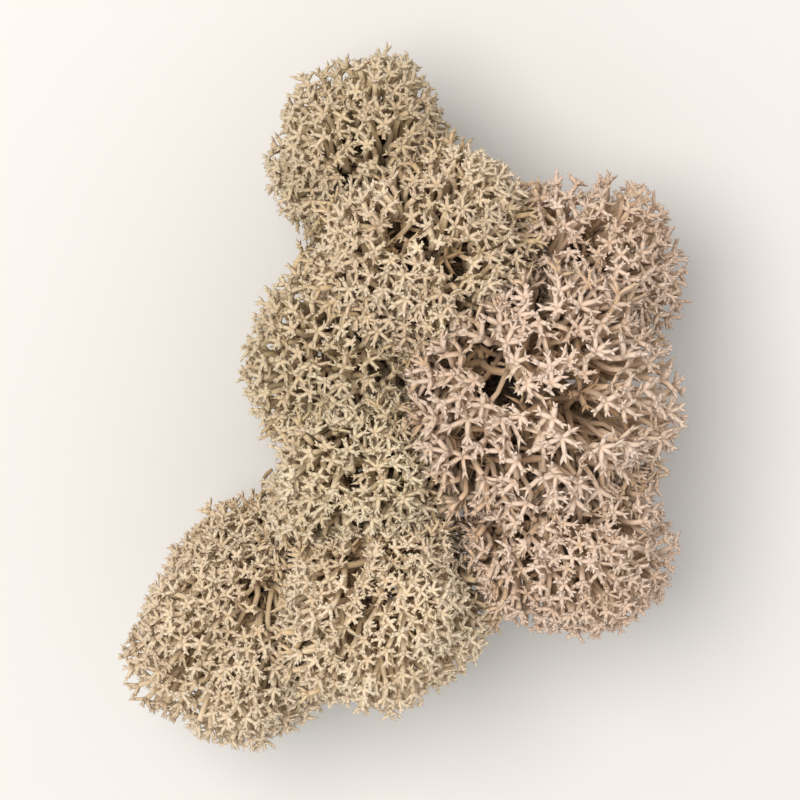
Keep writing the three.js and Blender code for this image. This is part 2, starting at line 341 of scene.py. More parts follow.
def cushion_count(plant):
    """How many cushions a ball with the head's radius has room for."""
    return round(4 * math.pi * (plant.radius / CUSHION_SIZE) ** 2)


def cushion_borders(plant, ways):
    """How far the given directions pass from a border of two cushions, and from where three meet."""
    centres = even_ways(cushion_count(plant), -1)
    jitter = CUSHION_JITTER * CUSHION_SIZE / plant.radius
    centres = unit(centres + np.random.default_rng(SEED + plant.variant).normal(0, jitter, centres.shape))
    angles = np.sort(np.arccos(np.clip(ways @ centres.T, -1, 1)), axis=1)
    to_border, to_hole = plant.radius * (angles[:, 1:3] - angles[:, :1]).T / 2
    return to_border, to_hole


print("The first head has", cushion_count(PLANTS[0]), "cushions")

# %% [markdown]
# ## Pits
# The picture also shows larger dark pits between the branches. Chance wouldn't put them in the right
# places, so each one is listed where it is seen, as a narrow oval that no star may cover.

# %% Mark the pits
PIT_MARGIN = 0.7  # how far the stars round a pit reach over its edge

# the middle, half the length, half the width, and how far the length is turned from the x axis, in degrees
PITS = [
    (21.3, 2.4, 3.6, 1.3, 117),
    (10.9, 4.8, 2.3, 1.3, 135),
    (8.6, 13.0, 1.9, 0.9, 143),
    (14.6, 9.1, 1.7, 0.9, 155),
    (12.2, -0.4, 1.4, 0.8, 140),
    (17.0, -2.8, 1.2, 0.9, 20),
    (19.9, -3.3, 1.6, 0.9, 127),
    (7.3, -8.7, 2.0, 1.4, 127),
    (7.0, -12.2, 1.8, 1.1, 150),
    (10.7, -13.5, 1.2, 0.9, 90),
    (4.0, -8.0, 1.6, 0.8, 80),
    (-8.0, -12.6, 2.4, 0.9, 60),
    (-5.1, -15.2, 2.2, 0.8, 60),
    (-3.7, -20.9, 0.9, 0.8, 0),
    (-15.9, -21.4, 1.7, 0.9, 75),
    (-0.6, 22.2, 1.5, 1.1, 45),
    (5.1, 19.4, 1.6, 0.8, 163),
]


def over_pit(points, size):
    """Which points lie over one of the pits, when the pits have this share of their full size."""
    over = np.zeros(len(points), bool)
    for x, y, half_length, half_width, turn in PITS:
        along = np.array([math.cos(math.radians(turn)), math.sin(math.radians(turn))])
        across = np.array([along[1], -along[0]])
        from_middle = points[:, :2] - (x, y)
        lengthwise = from_middle @ along / (half_length + PIT_MARGIN)
        crosswise = from_middle @ across / (half_width + PIT_MARGIN)
        over |= lengthwise**2 + crosswise**2 < size**2
    return over


print(len(PITS), "pits")

# %% [markdown]
# ## Layers of stars
# Most stars sit on the outside of a head, but not all. Older branches end further in, where it is dark, with
# coarser stars that keep a real head from being seen through. One layer of these lies close below the
# outside and one deep inside. The last layer only fills the seams, where two heads press against each other.
# The deep layer and the seam layer get older tips, whose darker browns are partly painted shade in the holes
# and in the seams between the heads.

# %% Set out the layers


@dataclass
class Layer:
    """One layer of stars: how deep it lies, and how it differs from the outermost one."""

    inset: float  # from the outside of the head to the middle of a star
    wider: float  # how much further apart its stars are
    age: float  # of its tips
    stalks: int
    pit_size: float  # of the pits and holes in it, as a share of those in the outermost layer
    blunt: bool = False  # whether the points of its stars are blunt, and not plain spikes
    seam: bool = False  # whether it only fills the seams between the heads


LAYERS = [
    Layer(0.95, 1.0, 0.0, 6, 1.0, blunt=True),
    Layer(2.3, 1.26, 1.8, 4, 1.0),
    # the deep layer's old tips (age 14) are darker, warmer browns: partly older tissue, partly painted shade
    # in the holes
    Layer(6.8, 1.9, 14.0, 3, 0.0),
    # the seam layer's older tips are darker: painted shade where two heads press together
    Layer(-0.4, 1.2, 4.5, 3, 0.0, seam=True),
]
INNERMOST = max(LAYERS, key=lambda layer: layer.inset)
print(len(LAYERS), "layers, the innermost", INNERMOST.inset, "mm below the outside")

# %% [markdown]
# ## Where the stars sit
# The stars of a head are packed like bubbles: as close as they can be, and never closer than a set
# distance. Throwing darts does that. Many places are tried in a random order, and one is kept only if no
# star sits near it yet. Below the widest ring the light is poor and the real plant has fewer stars, and its
# tips there are older and darker: partly older tissue, partly painted shade under the head.
# A star looks straight out of the head. Which way that is gets measured between neighbouring points of the
# outside, because the lumps and borders leave no simple formula for it.

# %% Find which way the outside faces
BORDER_GAP = 0.75  # between the middle of a star and the border with the next head
WAY_STEP = 0.04  # from a direction to its neighbours, on a unit ball
STEEP = 0.8  # the upward part of a direction from which on it counts as steep
UP = np.array([0.0, 0.0, 1.0])


def perpendiculars(ways):
    """Two directions at right angles to each given one, and to each other."""
    helper = np.where(np.abs(ways[..., 2:3]) < STEEP, UP, [1.0, 0.0, 0.0])
    first = unit(np.cross(ways, helper))
    return first, np.cross(ways, first)


def facing_of(plant, ways, inset):
    """The direction straight out of a head's outside, measured from four neighbouring points of each."""
    first, second = perpendiculars(ways)
    sides = []
    for across in (first, second):
        ahead, _ = outside_of(plant, unit(ways + WAY_STEP * across), inset, BORDER_GAP)
        behind, _ = outside_of(plant, unit(ways - WAY_STEP * across), inset, BORDER_GAP)
        sides.append(ahead - behind)
    straight = unit(np.cross(sides[0], sides[1]))
    return straight * np.sign((straight * ways).sum(axis=1))[:, None]


print("The very top of the first head faces", facing_of(PLANTS[0], UP[None], 0)[0].round(2))

# %% Scatter the stars
DARTS = 6500
DART_JITTER = 0.02
LOWEST_STAR = -0.95  # the upward part of the lowest direction that bears stars
STAR_LEAN = 0.22  # how far a star leans away from straight out

UNEVEN_NET = 0.16  # how much the distance between stars wanders from patch to patch
UNEVEN_DEPTH = 0.35
UNDERSIDE_SPREAD = 0.8  # how much further apart the stars are at the very bottom
UNDERSIDE_DEPTHS = 2.0  # how much more uneven their depth is there
# below the widest ring the tips get older, darker colours: partly older tissue, partly painted shade under
# the head
UNDERSIDE_AGE_AND_PAINTED_SHADE = 9.0  # how much older the tips are there
UNDERSIDE_LATE = 1.5  # how late they grow older on the way down: 1 is evenly

VALLEY_WIDTH = 0.6
VALLEY_SPREAD = 0.12  # how much further apart the stars are in a valley
VALLEY_DEPTH = 0.8
# in a valley the tips get older, darker colours: painted shade between the cushions
VALLEY_PAINTED_SHADE_AGE = 1.5  # how much older the tips are there
HOLE_SIZE = 1.75  # how near to the middle of a hole a star may sit
HOLE_FADE = 0.65  # how far up a unit ball the holes reach their full size

MOST_PRESSED = 4.5  # a star pushed in further than this by the next head isn't grown
PRESSED_SPREAD = 0.16  # how much further apart the stars are for each millimetre that they are pushed in
SEAM_BAND = 0.4  # how far up and down a unit ball a seam is filled


def scatter_stars(plant, layer, random):
    """The middles, the directions and the ages of the stars of one layer of a plant."""
    ways = even_ways(DARTS, LOWEST_STAR)
    ways = unit(ways + random.normal(0, DART_JITTER, ways.shape))
    points, pressed = outside_of(plant, ways, layer.inset, BORDER_GAP)
    to_border, to_hole = cushion_borders(plant, ways)
    valley = np.exp(-((to_border / VALLEY_WIDTH) ** 2))
    below = np.clip(-ways[:, 2], 0, 1)

    if layer.seam:
        allowed = (pressed > 0) & (np.abs(ways[:, 2]) < SEAM_BAND)
        pressed_spread = 0
    else:
        allowed = pressed < MOST_PRESSED
        pressed_spread = PRESSED_SPREAD
    allowed &= ~(over_pit(points, layer.pit_size) & (ways[:, 2] > 0))
    hole_size = HOLE_SIZE * plant.openness * layer.pit_size
    allowed &= to_hole > hole_size * np.clip(ways[:, 2] / HOLE_FADE, 0, 1)

    apart = plant.spacing * layer.wider * (1 + UNEVEN_NET * net_wave(points))
    apart *= 1 + VALLEY_SPREAD * valley
    apart *= 1 + UNDERSIDE_SPREAD * below
    apart *= 1 + pressed_spread * np.clip(pressed, 0, None)

    kept = []
    taken = np.empty((DARTS, 3))
    for dart in random.permutation(np.flatnonzero(allowed)):
        if kept and np.linalg.norm(taken[: len(kept)] - points[dart], axis=1).min() < apart[dart]:
            continue
        taken[len(kept)] = points[dart]
        kept.append(dart)

    facing = facing_of(plant, ways[kept], layer.inset)
    facing = unit(facing + random.normal(0, STAR_LEAN, facing.shape))
    depth = UNEVEN_DEPTH * (1 + UNDERSIDE_DEPTHS * below[kept]) * random.uniform(-1, 1, len(kept))
    depth = depth - VALLEY_DEPTH * valley[kept]
    ages = layer.age + UNDERSIDE_AGE_AND_PAINTED_SHADE * below[kept] ** UNDERSIDE_LATE + VALLEY_PAINTED_SHADE_AGE * valley[kept]
    return points[kept] + facing * depth[:, None], facing, ages


for layer in LAYERS:
    sample_stars = scatter_stars(PLANTS[0], layer, np.random.default_rng(SEED))
    print(f"The first head has {len(sample_stars[0])} stars at {layer.inset} mm")

# %% [markdown]
# ## The branches below the stars
# A lichen grows from the stalk up and forks as it goes. Growing it that way leaves the tips wherever
# chance puts them, and the head would have no outline. So the tree is found backwards: the stars are
# split into a few groups that lie together, one for each stalk, each group is split again, and so on down
# to single stars. Each group has its fork some way below its middle, further below the wider it is.

# %% Group the stars and find their forks
GROUPING_ROUNDS = 5
FORK_DEPTH = 1.2  # how far below its stars a fork lies, in spreads of its group
LEAST_DEPTH = 0.5
LOWEST_FORK = 1.0
CLIMB = 0.35  # how far stars rise over their fork at least, as a share of how far out they are
KNEE = np.array([0.28, 0.28, 0.62])  # where the route from a foot to its stars bends, outwards and up
ROUTE_STEPS = np.linspace(0, 1, 33)[:, None]


def grouped(points, count, random):
    """Splits points into groups that lie together, each round its own middle."""
    middles = [points[random.integers(len(points))]]
    while len(middles) < count:
        nearest = np.min([np.linalg.norm(points - m, axis=1) for m in middles], axis=0)
        middles.append(points[nearest.argmax()])
    for _ in range(GROUPING_ROUNDS):
        closest = np.argmin([np.linalg.norm(points - m, axis=1) for m in middles], axis=0)
        for i in np.unique(closest):
            middles[i] = points[closest == i].mean(axis=0)
    return [np.flatnonzero(closest == i) for i in np.unique(closest)]


def fork_place(foot, stars):
    """Where a group of stars has its fork, and the direction of the branch there."""
    middle = stars.mean(axis=0)
    spread = math.sqrt(((stars - middle) ** 2).sum(axis=1).mean())
    knee = foot + KNEE * (middle - foot)
    left = 1 - ROUTE_STEPS
    route = left**2 * foot + 2 * ROUTE_STEPS * left * knee + ROUTE_STEPS**2 * middle
    to_middle = np.linalg.norm(route - middle, axis=1)
    outer = np.linalg.norm(stars[:, :2] - foot[:2], axis=1)
    highest = max((stars[:, 2] - CLIMB * outer).min(), LOWEST_FORK)
    deep_enough = (to_middle >= FORK_DEPTH * spread + LEAST_DEPTH) & (route[:, 2] <= highest)
    step = max(int(np.flatnonzero(deep_enough).max(initial=0)), 1)
    return route[step], unit(route[step] - route[step - 1])


print("The first fork of those stars would lie at", fork_place(np.zeros(3), sample_stars[0])[0].round(1))

# %% Grow the branches
THREE_WAY_SHARE = 0.4  # of the forks
FOOT_RING = 1.3  # from the middle of the foot to a stalk of the outermost layer
FOOT_RING_STEP = 0.35  # how much further out the stalks of the next layer stand
FOOT_RING_SHARES = (0.75, 1.1)  # the least and the most of it
TWIG_RADIUS = 0.33
THICKENING = 0.2  # the power by which branches thicken with the number of stars that they carry
MOST_TAPER = 1.5  # how many times thicker a branch may start than it ends
STALK_SWELL = 1.15  # how much thicker a stalk stands on the floor
SHORTEST_BRANCH = 0.9
KEPT_WAY = 0.8  # how strongly a branch keeps the direction of the one below
STAR_AGE = 2.1  # millimetres of growth in a star


@dataclass
class Branch:
    """A stretch between two forks."""

    start: np.ndarray
    end: np.ndarray
    start_way: np.ndarray
    end_way: np.ndarray
    start_radius: float
    end_radius: float
    start_age: float
    end_age: float
    carries: int  # how many stars


def grow_branches(plant, layer, stars, facing, star_ages, random):
    """All the branches of one layer of a plant, from the foot to the stars."""
    branches = []
    foot_middle = np.append(axis_at(plant, 0.0), 0.0)

    def grow(members, foot, start, start_way, start_radius):
        """Grows the branch that carries some stars and all above it. Returns its age at the start."""
        radius = TWIG_RADIUS * len(members) ** THICKENING
        if len(members) == 1:
            star = members[0]
            end, end_way, end_age = stars[star], facing[star], star_ages[star] + STAR_AGE
        else:
            end, end_way = fork_place(foot, stars[members])
            onwards = end - start
            if np.linalg.norm(onwards) < SHORTEST_BRANCH or onwards @ start_way < 0:
                end, end_way, radius = start, start_way, start_radius
            count = 3 if len(members) > 3 and random.random() < THREE_WAY_SHARE else 2
            parts = grouped(stars[members], min(count, len(members)), random)
            end_age = np.mean([grow(members[part], foot, end, end_way, radius) for part in parts])
        length = np.linalg.norm(end - start)
        if length == 0:
            return end_age
        way = unit(unit(end - start) + KEPT_WAY * start_way)
        start_radius = min(start_radius, MOST_TAPER * radius)
        start_age = end_age + length
        branches.append(
            Branch(start, end, way, end_way, start_radius, radius, start_age, end_age, len(members))
        )
        return start_age

    ring = FOOT_RING + FOOT_RING_STEP * LAYERS.index(layer)
    for members in grouped(stars, layer.stalks, random):
        outwards = unit(stars[members].mean(axis=0)[:2] - foot_middle[:2])
        foot = foot_middle + ring * np.append(outwards, 0) * random.uniform(*FOOT_RING_SHARES)
        stalk_radius = STALK_SWELL * TWIG_RADIUS * len(members) ** THICKENING
        grow(members, foot, foot, UP, stalk_radius)
    return branches


sample_branches = grow_branches(PLANTS[0], LAYERS[-1], *sample_stars, np.random.default_rng(SEED))
print(len(sample_branches), "branches carry the last of those layers")

# %% [markdown]
# ## Skinning the branches
# Blender could bevel a curve for every branch, but a clump has tens of thousands of them and each curve
# costs time. Here every stalk, twig and point is a closed tube, and tubes with the same number of rings
# are made in one go with array arithmetic. Where tubes meet, their ends lie inside each other, and at this
# scale the eye reads one growing body.
# Each corner also gets a place on a map: across the map lies the age of the branch, from the pale tip to
# the grey foot, and up the map a tint that wanders from twig to twig. The colours are painted from it, and
# the older end of the ramp also carries painted shade for the inside of the head.

# %% Collect tubes in a skin


class Skin:
    """The corners, faces and map places of one piece."""

    def __init__(self):
        self.points = []
        self.places = []
        self.quads = []
        self.triangles = []
        self.size = 0

    def add(self, points, places, quads, triangles):
        """Adds many tubes alike: points is (tubes, corners, 3), and the faces are those of one tube."""
        starts = self.size + np.arange(len(points))[:, None, None] * points.shape[1]
        self.points.append(points.reshape(-1, 3))
        self.places.append(places.reshape(-1, 2))
        if len(quads):
            self.quads.append((starts + quads).reshape(-1, 4))
        self.triangles.append((starts + triangles).reshape(-1, 3))
        self.size += points.shape[0] * points.shape[1]

    def triangle_count(self):
        """How many triangles its faces come to."""
        return 2 * sum(map(len, self.quads)) + sum(map(len, self.triangles))


def tube_faces(rings, sides, pointed):
    """The faces of one closed tube. A pointed one has a single corner after its last ring."""
    around = np.arange(sides)
    after = (around + 1) % sides
    lower = np.arange(rings - 1)[:, None] * sides
    upper = lower + sides
    quads = np.stack([lower + around, lower + after, upper + after, upper + around], axis=-1).reshape(-1, 4)
    top = (rings - 1) * sides
    triangles = [[0, i + 1, i] for i in range(1, sides - 1)]
    if pointed:
        triangles += [[top + i, top + (i + 1) % sides, rings * sides] for i in range(sides)]
    else:
        triangles += [[top, top + i, top + i + 1] for i in range(1, sides - 1)]
    return quads, np.array(triangles)


print("A pointed tube of three rings has", len(tube_faces(3, 5, True)[0]), "quads")

# %% Wrap tubes round lines
OLDEST = 46.0  # the age at the far edge of the map, in millimetres of growth
TINT_WIDTH = 0.012  # how much of the map's height a twig takes up
TINT_TURN = 0.35  # radians from the dullest side of a twig to the first corner of its rings


def add_tubes(skin, lines, radii, ages, tints, sides, pointed=False):
    """Adds tubes round middle lines. lines is (tubes, steps, 3), radii and ages are (tubes, steps)."""
    along = unit(np.gradient(lines, axis=1))
    first, _ = perpendiculars(unit(along.mean(axis=1)))
    first = first[:, None]
    first = unit(first - along * (along * first).sum(axis=2, keepdims=True))
    second = np.cross(along, first)
    angles = 2 * math.pi * np.arange(sides) / sides
    circle = first[:, :, None] * np.cos(angles)[:, None] + second[:, :, None] * np.sin(angles)[:, None]
    points = lines[:, :, None] + radii[:, :, None, None] * circle

    across = np.sqrt(np.clip(ages, 0, OLDEST) / OLDEST)
    up = np.broadcast_to(tints[:, None, None], points.shape[:3]) + TINT_WIDTH * np.cos(angles + TINT_TURN)
    places = np.stack([np.broadcast_to(across[:, :, None], points.shape[:3]), up], axis=-1)

    rings = lines.shape[1] - pointed
    kept = points[:, :rings].reshape(len(points), -1, 3)
    kept_places = places[:, :rings].reshape(len(points), -1, 2)
    if pointed:
        kept = np.concatenate([kept, lines[:, -1:]], axis=1)
        last = np.stack([across[:, -1:], tints[:, None]], axis=-1)
        kept_places = np.concatenate([kept_places, last], axis=1)
    quads, triangles = tube_faces(rings, sides, pointed)
    skin.add(kept, kept_places, quads, triangles)


print("The map holds ages up to", OLDEST, "mm")

# %% Bend the branches
BRANCH_STEP = 1.6  # length of a branch between two rings
MOST_STEPS = 12
WOBBLE = 0.055  # how far a branch strays from its smooth line, as a share of its length
KNOBBLE = 0.09  # how uneven its thickness is
SWOLLEN_SHARE = 0.4  # how much of a branch is swollen by the fork below it
THICK = 0.5  # branches thicker than this radius have more sides
THICK_SIDES = 6
THIN_SIDES = 5


def bent_lines(starts, ends, start_ways, end_ways, steps, random):
    """Smooth lines that leave and arrive in the given directions, with a little wobble."""
    s = np.linspace(0, 1, steps + 1)[None, :, None]
    lengths = np.linalg.norm(ends - starts, axis=1)[:, None, None]
    lines = (
        (2 * s**3 - 3 * s**2 + 1) * starts[:, None]
        + (s**3 - 2 * s**2 + s) * start_ways[:, None] * lengths
        + (3 * s**2 - 2 * s**3) * ends[:, None]
        + (s**3 - s**2) * end_ways[:, None] * lengths
    )
    first, second = perpendiculars(unit(ends - starts))
    for waves in (1, 2):
        sway = random.normal(0, WOBBLE / waves, (2, len(starts), 1, 1)) * lengths
        lines += np.sin(waves * math.pi * s) * (sway[0] * first[:, None] + sway[1] * second[:, None])
    return lines


def gathered(branches, *parts):
    """Some parts of many branches, each as one array."""
    return [np.array([getattr(branch, part) for branch in branches]) for part in parts]


def skin_branches(skin, branches, tints, random):
    """Skins branches in batches that have the same number of rings and sides."""
    lengths = np.array([np.linalg.norm(b.end - b.start) for b in branches])
    steps = np.clip(np.ceil(lengths / BRANCH_STEP).astype(int), 2, MOST_STEPS)
    thick = gathered(branches, "end_radius")[0] > THICK
    for count in np.unique(steps):
        for sides, alike in ((THICK_SIDES, thick), (THIN_SIDES, ~thick)):
            picked = np.flatnonzero((steps == count) & alike)
            if not len(picked):
                continue
            chosen = [branches[i] for i in picked]
            lines = bent_lines(*gathered(chosen, "start", "end", "start_way", "end_way"), count, random)
            s = np.linspace(0, 1, count + 1)
            swelling = np.clip(1 - s / SWOLLEN_SHARE, 0, 1) ** 2
            numbers = gathered(chosen, "start_radius", "end_radius", "start_age", "end_age")
            start_radii, end_radii, start_ages, end_ages = np.array(numbers)[..., None]
            radii = end_radii + (start_radii - end_radii) * swelling
            radii = radii * (1 + random.uniform(-KNOBBLE, KNOBBLE, radii.shape))
            ages = start_ages + (end_ages - start_ages) * s
            add_tubes(skin, lines, radii, ages, tints[picked], sides)


sample_skin = Skin()
sample_tints = np.full(len(sample_branches), 0.5)
skin_branches(sample_skin, sample_branches, sample_tints, np.random.default_rng(SEED))
print("The branches of that layer take", sample_skin.triangle_count(), "triangles")

# %% [markdown]
# ## The stars
# At the end of each twig four or five short arms open round it like the ribs of an umbrella, and each arm
# splits into two or three points. That pattern, repeated over the whole head, gives the moss its lacy
# surface, so it is made as real shape and not as a bump in the colour. Only the outermost stars get blunt
# points, because further in the difference can't be seen.

# %% Split the arms into points
POINT_AGE = 0.9  # millimetres of growth in a point
POINT_LENGTH = 0.72
POINT_LENGTHS = (0.7, 1.3)  # the least and the most of it
POINT_RADIUS = 0.215
BLUNT_POINT = [(-0.12, 1.05), (0.62, 0.8), (1.0, 0.0)]  # shares of its length, and its thickness there
PLAIN_POINT = [(-0.12, 1.1), (1.0, 0.0)]
POINT_CURL = 0.12  # how far its end curls up, as a share of its length
POINT_LIFT = (-0.15, 0.4)  # how steeply it rises over the fan of its arm
MOST_POINTS = 3
THREE_POINT_SHARE = 0.35
FAN_OF_THREE = [-0.75, 0.0, 0.75]  # radians
FAN_OF_TWO = [-0.5, 0.5, 0.0]  # the last one isn't grown
FAN_STRAY = 0.14
POINT_TINT_STRAY = 0.03
POINT_SIDES = 3
LIGHTEST, DULLEST = 0.03, 0.97


def on_map(tints):
    """Tints kept clear of the map's edges."""
    return np.clip(tints, LIGHTEST, DULLEST)


def add_points(skin, places, ways, axes, sizes, ages, tints, blunt, random):
    """Splits the ends of arms into two or three points each."""
    count = len(places)
    three = random.random(count) < THREE_POINT_SHARE
    fan = np.where(three[:, None], FAN_OF_THREE, FAN_OF_TWO)
    fan = fan + random.normal(0, FAN_STRAY, fan.shape)
    kept = np.arange(MOST_POINTS) < 2 + three[:, None]
    sideways = unit(np.cross(axes, ways))
    lift = random.uniform(*POINT_LIFT, (count, MOST_POINTS, 1))
    point_ways = ways[:, None] * np.cos(fan)[..., None] + sideways[:, None] * np.sin(fan)[..., None]
    point_ways = unit(point_ways + lift * axes[:, None])
    lengths = POINT_LENGTH * sizes[:, None] * random.uniform(*POINT_LENGTHS, fan.shape)
    steps, thickness = np.array(BLUNT_POINT if blunt else PLAIN_POINT).T
    lines = places[:, None, None] + (lengths[..., None] * steps)[..., None] * point_ways[:, :, None]
    grown = np.clip(steps, 0, 1)
    curl = POINT_CURL * lengths[..., None] * grown**3
    lines = lines + curl[..., None] * axes[:, None, None]
    radii = POINT_RADIUS * thickness * np.sqrt(sizes)[:, None, None] * np.ones((MOST_POINTS, 1))
    point_ages = np.broadcast_to(ages[:, None, None] - POINT_AGE * grown, radii.shape)
    point_tints = on_map(tints[:, None] + random.normal(0, POINT_TINT_STRAY, fan.shape))
    point_ages, point_tints = point_ages[kept], point_tints[kept]
    add_tubes(skin, lines[kept], radii[kept], point_ages, point_tints, POINT_SIDES, pointed=True)


print("A blunt point has", len(BLUNT_POINT) - 1, "rings and a plain one", len(PLAIN_POINT) - 1)

# %% Open the stars
MOST_ARMS = 5
FIVE_ARM_SHARE = 0.45
ARM_LENGTH = 1.3
ARM_RADIUS = 0.29
ARM_TAPER = np.array([1.05, 0.95, 0.85])  # at the start, the middle and the end
ARM_THICKNESSES = (0.85, 1.15)  # the least and the most of it
ARM_SPREAD = 0.22  # how far an arm strays from its even place, as a share of the way to the next
START_TILT = (0.45, 0.85)  # radians away from the twig
END_TILT = (0.95, 1.45)
STAR_OPENNESS = (0.78, 1.1)  # of the tilts of a whole star
STAR_SIZES = (0.85, 1.2)
ARM_SIZES = (0.75, 1.25)
ARM_TINT_STRAY = 0.05
ARM_SIDES = {True: 4, False: 3}  # in a blunt star and in a plain one


def add_stars(skin, size, middles, axes, star_ages, tints, blunt, random):
    """Opens a star at the end of each twig."""
    count = len(middles)
    arms = np.where(random.random(count) < FIVE_ARM_SHARE, MOST_ARMS, MOST_ARMS - 1)[:, None]
    number = np.arange(MOST_ARMS)
    stray = random.uniform(-ARM_SPREAD, ARM_SPREAD, (count, MOST_ARMS))
    turns = 2 * math.pi * (number + stray) / arms
    turns = turns + random.uniform(0, 2 * math.pi, (count, 1))
    first, second = perpendiculars(axes)
    outwards = first[:, None] * np.cos(turns)[..., None] + second[:, None] * np.sin(turns)[..., None]

    openness = random.uniform(*STAR_OPENNESS, (count, 1))

    def tilted(least, most):
        """Directions that lean out from the twig."""
        tilt = (openness * random.uniform(least, most, turns.shape))[..., None]
        return np.cos(tilt) * axes[:, None] + np.sin(tilt) * outwards

    start_ways = tilted(*START_TILT)
    end_ways = tilted(*END_TILT)
    sizes = size * random.uniform(*STAR_SIZES, (count, 1)) * random.uniform(*ARM_SIZES, turns.shape)
    s = np.array([0.0, 0.5, 1.0])[:, None]
    stretch = (ARM_LENGTH * sizes)[..., None, None]
    lines = middles[:, None, None] + stretch * (
        s * start_ways[:, :, None] + s**2 / 2 * (end_ways - start_ways)[:, :, None]
    )
    thickness = ARM_RADIUS * math.sqrt(size) * ARM_TAPER
    radii = thickness * random.uniform(*ARM_THICKNESSES, turns.shape + (1,))
    growth = np.array([STAR_AGE, (STAR_AGE + POINT_AGE) / 2, POINT_AGE])
    ages = np.broadcast_to(star_ages[:, None, None] + growth, radii.shape)
    arm_tints = on_map(tints[:, None] + random.normal(0, ARM_TINT_STRAY, turns.shape))

    kept = number < arms
    add_tubes(skin, lines[kept], radii[kept], ages[kept], arm_tints[kept], ARM_SIDES[blunt])
    arm_axes = np.broadcast_to(axes[:, None], start_ways.shape)[kept]
    ends, end_ages = lines[kept][:, -1], ages[kept][:, -1]
    add_points(skin, ends, end_ways[kept], arm_axes, sizes[kept], end_ages, arm_tints[kept], blunt, random)


sample_skin = Skin()
one_star = np.zeros((1, 3)), UP[None], np.zeros(1), np.full(1, 0.5)
add_stars(sample_skin, 1, *one_star, True, np.random.default_rng(SEED))
print("One blunt star takes", sample_skin.triangle_count(), "triangles")

# %% [markdown]
# ## Side twigs and dead stalks
# Between the forks the real branches bear short side twigs, which fill the inside of the head, and round
# each foot stand the stumps of older branches. Both matter most from the side and from below, where the
# stars don't hide the inside. They take the same tubes and points as the rest.

# %% Add side twigs
TWIG_STEP = 2.6  # length of branch for each side twig
TWIG_LENGTH = (1.1, 2.6)
TWIG_PLACES = (0.2, 1.0)  # how far along its branch a side twig may start
YOUNGEST_WITH_TWIGS = 8.0  # the age of a branch's lower end; younger ones are hidden by the stars
TWIG_LEAN = 0.75  # how far it leans along its branch
TWIG_STRAY = 0.25  # how far its end turns by chance
TWIG_RISE = 0.3  # how far its end turns up
SIDE_TWIG_RADII = np.array([0.3, 0.27, 0.23])  # at its start, its middle and its end
SIDE_TWIG_AGES = np.array([0.95, 0.8, 0.65])  # there too, as shares of its branch's age
SIDE_TWIG_SIDES = 4
SIDE_TWIG_POINTS = 1.2  # their size


def add_side_twigs(skin, branches, tints, random):
    """Grows forked side twigs out of the branches that carry more than one star."""
    twigs = []
    for branch, tint in zip(branches, tints):
        if branch.carries < 2 or branch.start_age < YOUNGEST_WITH_TWIGS:
            continue
        stretch = branch.end - branch.start
        along = unit(stretch)
        for _ in range(int(np.linalg.norm(stretch) / TWIG_STEP + random.random())):
            s = random.uniform(*TWIG_PLACES)
            way = unit(TWIG_LEAN * along + unit(np.cross(along, random.normal(0, 1, 3))))
            age = branch.start_age + s * (branch.end_age - branch.start_age)
            twigs.append((branch.start + s * stretch, way, random.uniform(*TWIG_LENGTH), age, tint))
    starts, ways, lengths, ages, own_tints = map(np.array, zip(*twigs))
    ends = starts + ways * lengths[:, None]
    end_ways = unit(ways + random.normal(0, TWIG_STRAY, ways.shape) + TWIG_RISE * UP)
    lines = bent_lines(starts, ends, ways, end_ways, 2, random)
    radii = SIDE_TWIG_RADII * np.ones((len(starts), 1))
    twig_ages = ages[:, None] * SIDE_TWIG_AGES
    add_tubes(skin, lines, radii, twig_ages, own_tints, SIDE_TWIG_SIDES)
    axes, _ = perpendiculars(end_ways)
    point_sizes = np.full(len(ends), SIDE_TWIG_POINTS)
    add_points(skin, ends, end_ways, axes, point_sizes, twig_ages[:, -1], own_tints, False, random)
    return len(starts)


twig_count = add_side_twigs(Skin(), sample_branches, sample_tints, np.random.default_rng(SEED))
print("The branches of that layer bear", twig_count, "side twigs")

# %% Raise the dead stalks round the foot
DEAD_STALKS = 30
FOOT_RADIUS = 2.6
DEAD_TURN = 0.5  # radians by which one may stray from its even place round the foot
DEAD_LENGTH = (5.0, 17.0)
DEAD_RADIUS = (0.3, 0.5)
DEAD_TAPER = 0.75  # the thickness of its end, as a share of that at the foot
DEAD_LEAN = 0.66  # how far the outermost ones lean away from their foot
DEAD_LEANS = (0.3, 1)  # the least and the most of it
DEAD_STRAY = 0.25  # how far the end turns by chance
INWARD_LEAN = 0.3  # how far all of them lean to the middle of the clump, where the light is poorest
OLD_AGE = 38.0  # at the foot
DEAD_CARRIES = 2  # as if it had two stars, so that it gets side twigs


def dead_stalks(plant, random):
    """Older stalks round the foot that have lost their heads."""
    foot = np.append(axis_at(plant, 0.0), 0.0)
    inward = -unit(foot)
    stalks = []
    for i in range(DEAD_STALKS):
        share = math.sqrt((i + 0.5) / DEAD_STALKS)
        turn = i * GOLDEN_ANGLE + random.uniform(0, DEAD_TURN)
        level = np.array([math.cos(turn), math.sin(turn), 0])
        length = random.uniform(*DEAD_LENGTH)
        radius = random.uniform(*DEAD_RADIUS)
        lean = DEAD_LEAN * share * random.uniform(*DEAD_LEANS) * level + INWARD_LEAN * inward
        way = unit(lean + UP)
        start = foot + FOOT_RADIUS * share * level
        end = start + length * way
        end_way = unit(way + random.normal(0, DEAD_STRAY, 3))
        end_radius, end_age = DEAD_TAPER * radius, OLD_AGE - length
        stalks.append(
            Branch(start, end, UP, end_way, radius, end_radius, OLD_AGE, end_age, DEAD_CARRIES)
        )
    return stalks


print(len(PLANTS) * DEAD_STALKS, "dead stalks in all")

